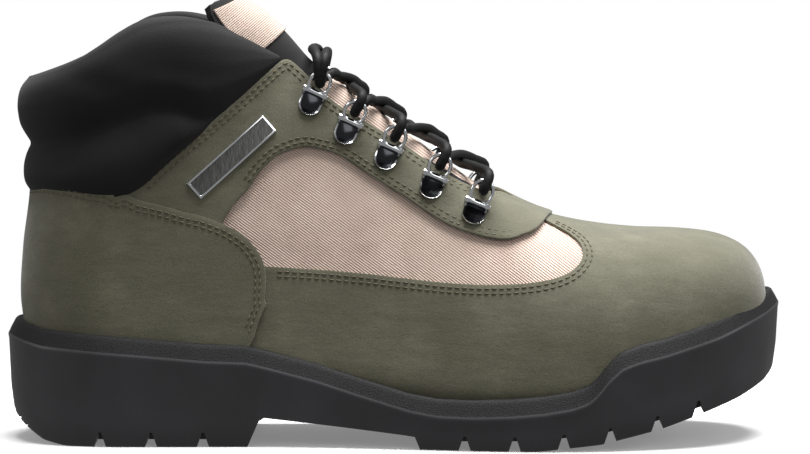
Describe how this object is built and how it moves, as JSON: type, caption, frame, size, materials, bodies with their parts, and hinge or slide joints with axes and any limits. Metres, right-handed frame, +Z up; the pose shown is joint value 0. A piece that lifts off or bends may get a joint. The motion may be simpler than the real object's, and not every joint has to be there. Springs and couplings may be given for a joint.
{
  "type": "field boot",
  "caption": "Mid-height laced field boot with cup sole, lugged tread, padded collar, cloth side window and metal lace rings.",
  "frame": {"origin": "middle of the foot print on the floor: the centre of the whole boot's box in X and Y, at the tread's height", "axes": "+X from heel to toe, +Y to the inner side of the foot, +Z up"},
  "size_m": [0.306, 0.108, 0.1713],
  "materials": {
    "rubber": "satin, with a finely grained band",
    "nubuck": "matt nap with cloudy patches",
    "footbed": "matt",
    "padding": "smooth and matt",
    "cloth": "ribbed weave",
    "chrome": "polished",
    "cord": "braided"
  },
  "bodies": {
    "root": {"sole": "rubber", "upper": "nubuck", "insole": "footbed", "heel_counter": "nubuck", "eyestay": "nubuck", "collar": "padding", "tongue": "cloth", "pull_tab": "cloth", "plate": "chrome", "outer_ring_1": "chrome", "outer_ring_2": "chrome", "outer_ring_3": "chrome", "outer_ring_4": "chrome", "outer_ring_5": "chrome", "inner_ring_1": "chrome", "inner_ring_2": "chrome", "inner_ring_3": "chrome", "inner_ring_4": "chrome", "inner_ring_5": "chrome", "laces": "cord"}
  },
  "joints": []
}
